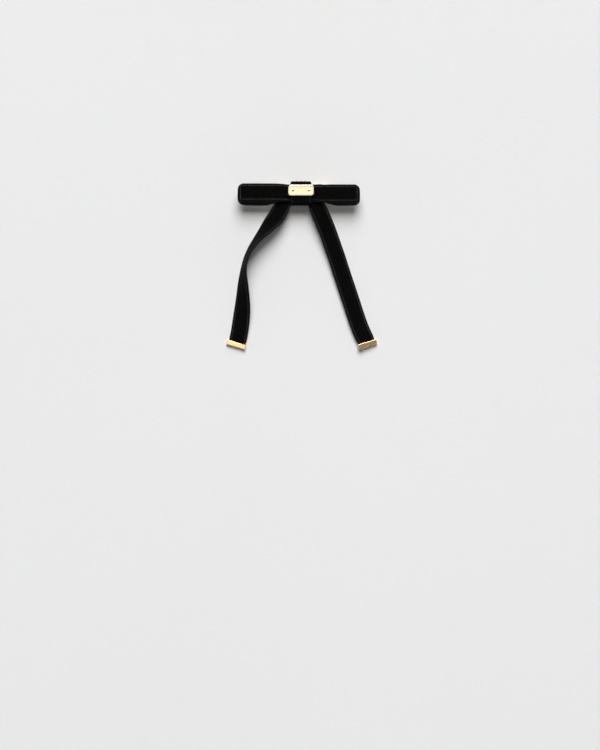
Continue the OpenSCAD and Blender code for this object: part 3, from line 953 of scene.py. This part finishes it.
def wallHeight(x, settings):
    # top of the lower arm's side walls: ramp, ears round the pin, plain wall, teeth, ramp
    px, pz = settings["pivot"]
    top = 0.4
    if px - settings["wallFrom"] <= x <= px - 1.2:
        share = (x - px + settings["wallFrom"]) / (settings["wallFrom"] - 1.2)
        top = 0.4 + (settings["wallZ"] - 0.4) * share
    elif px - 1.2 < x <= settings["teethFrom"] - 0.8:
        top = settings["wallZ"]
    elif settings["teethFrom"] - 0.8 < x < settings["teethFrom"]:
        s = (x - settings["teethFrom"] + 0.8) / 0.8
        top = settings["wallZ"] + (settings["toothLow"] - settings["wallZ"]) * s
    elif settings["teethFrom"] <= x <= settings["teethTo"]:
        pitch = (settings["teethTo"] - settings["teethFrom"]) / settings["teeth"]
        s = ((x - settings["teethFrom"]) / pitch) % 1.0
        top = settings["toothLow"] + (settings["toothTop"] - settings["toothLow"]) * (1 - abs(2 * s - 1))
    elif settings["teethTo"] < x <= settings["jaw"] - settings["wallTo"]:
        s = (x - settings["teethTo"]) / (settings["jaw"] - settings["wallTo"] - settings["teethTo"])
        top = settings["toothLow"] + (0.4 - settings["toothLow"]) * s
    if abs(x - px) < settings["earR"]:
        top = max(top, pz + math.sqrt(settings["earR"] ** 2 - (x - px) ** 2))
    return top


def plateOutline(settings, samples=28):
    # long plate with both ends rounded
    r = settings["width"] / 2
    turns = np.linspace(0, math.pi, samples)
    left = [(-settings["thumb"] + r - r * math.sin(a), r * math.cos(a)) for a in turns]
    right = [(settings["jaw"] - r + r * math.sin(a), -r * math.cos(a)) for a in turns]
    return right + left


def slabFrom(outline, low, high, plane):
    # a sheet cut to an outline, with its thickness between low and high
    lowRing = [plane(a, b, low) for a, b in outline]
    highRing = [plane(a, b, high) for a, b in outline]
    return ringSkin([lowRing, highRing])


def makeArm(name, node, body, parts):
    verts, faces = joinParts(parts)
    piece = makePiece(name, verts, faces, [clipGold], None, 30)
    softenEdges(piece, clipShape["edge"], 3, 32)
    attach(piece, body)
    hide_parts(node)


def makeClip():
    settings = clipShape
    t = settings["sheet"]
    px, pz = settings["pivot"]
    r = settings["width"] / 2
    flat = lambda a, b, c: (a * mm, b * mm, c * mm)
    upright = lambda a, b, c: (a * mm, c * mm, b * mm)
    # lower arm: base plate and two toothed walls with ears
    base = slabFrom(plateOutline(settings), 0.0, t, flat)
    xs = set(np.linspace(px - settings["wallFrom"], px - settings["earR"], 8))
    xs |= set(px + settings["earR"] * np.cos(np.radians(np.linspace(180, 0, 21))))
    xs |= set(np.linspace(px + settings["earR"], settings["teethFrom"] - 0.8, 14))
    pitch = (settings["teethTo"] - settings["teethFrom"]) / settings["teeth"]
    xs |= set(settings["teethFrom"] + pitch * k / 2 for k in range(2 * settings["teeth"] + 1))
    xs |= {settings["jaw"] - settings["wallTo"]}
    xs = sorted(xs)
    wall = [(x, t * 0.5) for x in reversed(xs)]
    wall += [(x, max(wallHeight(x, settings), t * 0.5 + 0.02)) for x in xs]
    parts = [base]
    for sideways in (-1, 1):
        inner, outer = sideways * (r - t), sideways * r
        parts.append(slabFrom(wall, min(inner, outer), max(inner, outer), upright))
    makeArm("clipLowerArm", "lower_arm", "lower_jaw", parts)
    # upper arm: plate with two ears inside the lower ones
    z0 = settings["upperZ"]
    plate = slabFrom(plateOutline(settings), z0, z0 + t, flat)
    er = settings["earR"]
    ear = [(px + er * math.cos(a), pz + er * math.sin(a)) for a in np.linspace(-math.pi, 0, 22)]
    ear += [(px + er, z0 + t * 0.5), (px - er, z0 + t * 0.5)]
    parts = [plate]
    earOut = r - t - 0.2
    for sideways in (-1, 1):
        inner, outer = sideways * (earOut - t), sideways * earOut
        parts.append(slabFrom(ear, min(inner, outer), max(inner, outer), upright))
    makeArm("clipUpperArm", "upper_arm", "bow", parts)
    # pin with domed heads
    half = r + 0.1
    head, pinR = settings["pinHead"], settings["pinR"]
    upper = [(pinR, half), (head, half), (head, half + 0.16), (head - 0.2, half + 0.38),
             (head - 0.6, half + 0.5), (0.04, half + 0.52)]
    profile = [(a, -b) for a, b in reversed(upper)] + upper
    verts, faces = turnedPart([(a * mm, b * mm) for a, b in profile], (px * mm, 0, pz * mm), (0, 1, 0), 36)
    pin = makePiece("pivotPin", verts, faces, [springSteel], None, 35)
    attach(pin, "lower_jaw")
    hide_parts("pivot_pin")
    print("hair bow: clip arms and pin made")


springShape = {"coilR": 1.55, "wire": 0.8, "turns": 3.5, "half": 1.9, "legEnd": -24.0}


def makeSpring():
    settings = springShape
    px, pz = clipShape["pivot"]
    whole = 360 * settings["turns"]
    touch = settings["wire"] / 2 + 0.06
    topLeg = clipShape["upperZ"] - touch
    lowLeg = clipShape["sheet"] + touch
    legs = [[settings["legEnd"], -settings["half"], topLeg],
            [settings["legEnd"] + 4, -settings["half"], topLeg - 0.18]]
    coil = [[px + settings["coilR"] * math.cos(math.radians(90 - a)),
             -settings["half"] + 2 * settings["half"] * a / whole,
             pz + settings["coilR"] * math.sin(math.radians(90 - a))] for a in np.arange(0, whole + 1, 10)]
    lower = [[settings["legEnd"] + 4, settings["half"], lowLeg + 0.5],
             [settings["legEnd"], settings["half"], lowLeg]]
    line, _ = smoothRoute(legs + coil + lower, 0.16)
    verts, faces = sweptTube(line * mm, settings["wire"] / 2 * mm, 14)
    spring = makePiece("clipSpring", verts, faces, [springSteel], None, 50)
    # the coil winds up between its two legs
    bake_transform(spring)
    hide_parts("clip_spring")
    print("hair bow: spring wound")


makeLoops()
makeTail(leftTail)
makeTail(rightTail)
makeBand()
makePlaque()
makeFerrule("left")
makeFerrule("right")
makeThread()
makeClip()
makeSpring()
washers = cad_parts["plaque_washers"]
washers.data.materials.clear()
washers.data.materials.append(springSteel)


# studio: pale bowl of a floor, wide key from the top of the bow, two lights overhead, one on the far rim

studio = {
    "floorRadius": 3.2, "sweep": 0.9, "wall": 0.5, "floorTone": 0.86,
    "key": {"distance": 20.0, "elevation": 44.0, "azimuth": 88.0, "radius": 7.6, "power": 5350.0},
    "keyTint": (0.996, 0.999, 1.0),
    "panel": {"height": 3.0, "radius": 0.5, "radiance": 0.98, "tint": (0.97, 0.985, 1.0)},
    "veil": {"height": 3.2, "radius": 1.05, "radiance": 0.34, "tint": (1.0, 0.985, 0.965)},
    "wallLight": {"from": 1.3, "height": 1.5, "radius": 0.5, "power": 40.0},
    "room": 0.02,
    "lens": 135.0, "cameraAt": (-0.0009, -0.1632, 2.531),
}


def makeStudio():
    radius, sweep = studio["floorRadius"], studio["sweep"]
    profile = [(0.02, 0.0), (radius * 0.5, 0.0), (radius, 0.0)]
    for a in np.radians(np.arange(10, 91, 10)):
        profile.append((radius + sweep * math.sin(a), sweep * (1 - math.cos(a))))
    profile.append((radius + sweep, sweep + studio["wall"]))
    sides = 96
    turns = np.linspace(0, 2 * math.pi, sides, endpoint=False)
    rings = [[(rr * math.cos(a), rr * math.sin(a) - 0.1, zz) for a in turns] for rr, zz in profile]
    verts, faces = ringSkin(rings, capped=False)
    faces.append(tuple(range(sides)))
    material, tree, shader = newFinish("pale_floor", {"Roughness": 0.9, "Specular IOR Level": 0.1})
    tone = studio["floorTone"]
    paper = noiseNode(tree, objectVector(tree), 2.2, 2.0)
    tree.links.new(rampNode(tree, paper, [(0.3, (tone * 0.985,) * 3), (0.7, (tone,) * 3)]),
                   shader.inputs["Base Color"])
    floor = makePiece("studioFloor", verts, faces, [material], None, 80)
    floor.location.z = -0.0002

    def addLight(name, place, aim, radius, power, tint):
        data = bpy.data.lights.new(name, "AREA")
        data.shape = "DISK"
        data.size = 2 * radius
        data.energy = power
        data.color = tint
        lamp = bpy.data.objects.new(name, data)
        lamp.location = place
        lamp.rotation_euler = (Vector(aim) - Vector(place)).to_track_quat("-Z", "Y").to_euler()
        bpy.context.scene.collection.objects.link(lamp)

    key = studio["key"]
    e, a = math.radians(key["elevation"]), math.radians(key["azimuth"])
    middle = Vector((0, -0.06, 0))
    away = Vector((math.cos(e) * math.cos(a), math.cos(e) * math.sin(a), math.sin(e)))
    place = middle + key["distance"] * away
    addLight("keyLight", place, middle, key["radius"], key["power"], studio["keyTint"])
    for name in ("panel", "veil"):
        lamp = studio[name]
        area = math.pi * lamp["radius"] ** 2
        addLight(name + "Light", (0.0, -0.08, lamp["height"]), (0, -0.08, 0), lamp["radius"],
                 lamp["radiance"] * math.pi * area, lamp["tint"])
    wall = studio["wallLight"]
    addLight("wallLight", (0.0, wall["from"], wall["height"]), (0.0, radius + sweep, sweep), wall["radius"],
             wall["power"], studio["keyTint"])
    world = bpy.data.worlds.new("room")
    world.use_nodes = True
    background = world.node_tree.nodes["Background"]
    background.inputs["Color"].default_value = (1.0, 0.94, 0.88, 1.0)
    background.inputs["Strength"].default_value = studio["room"]
    bpy.context.scene.world = world
    cameraData = bpy.data.cameras.new("camera")
    cameraData.lens = studio["lens"]
    cameraData.sensor_width = 36.0
    cameraData.clip_start = 0.05
    cameraData.clip_end = 50.0
    camera = bpy.data.objects.new("camera", cameraData)
    camera.location = studio["cameraAt"]
    bpy.context.scene.collection.objects.link(camera)
    bpy.context.scene.camera = camera
    bpy.context.scene.view_settings.view_transform = "Standard"


makeStudio()
print("hair bow: studio lit")
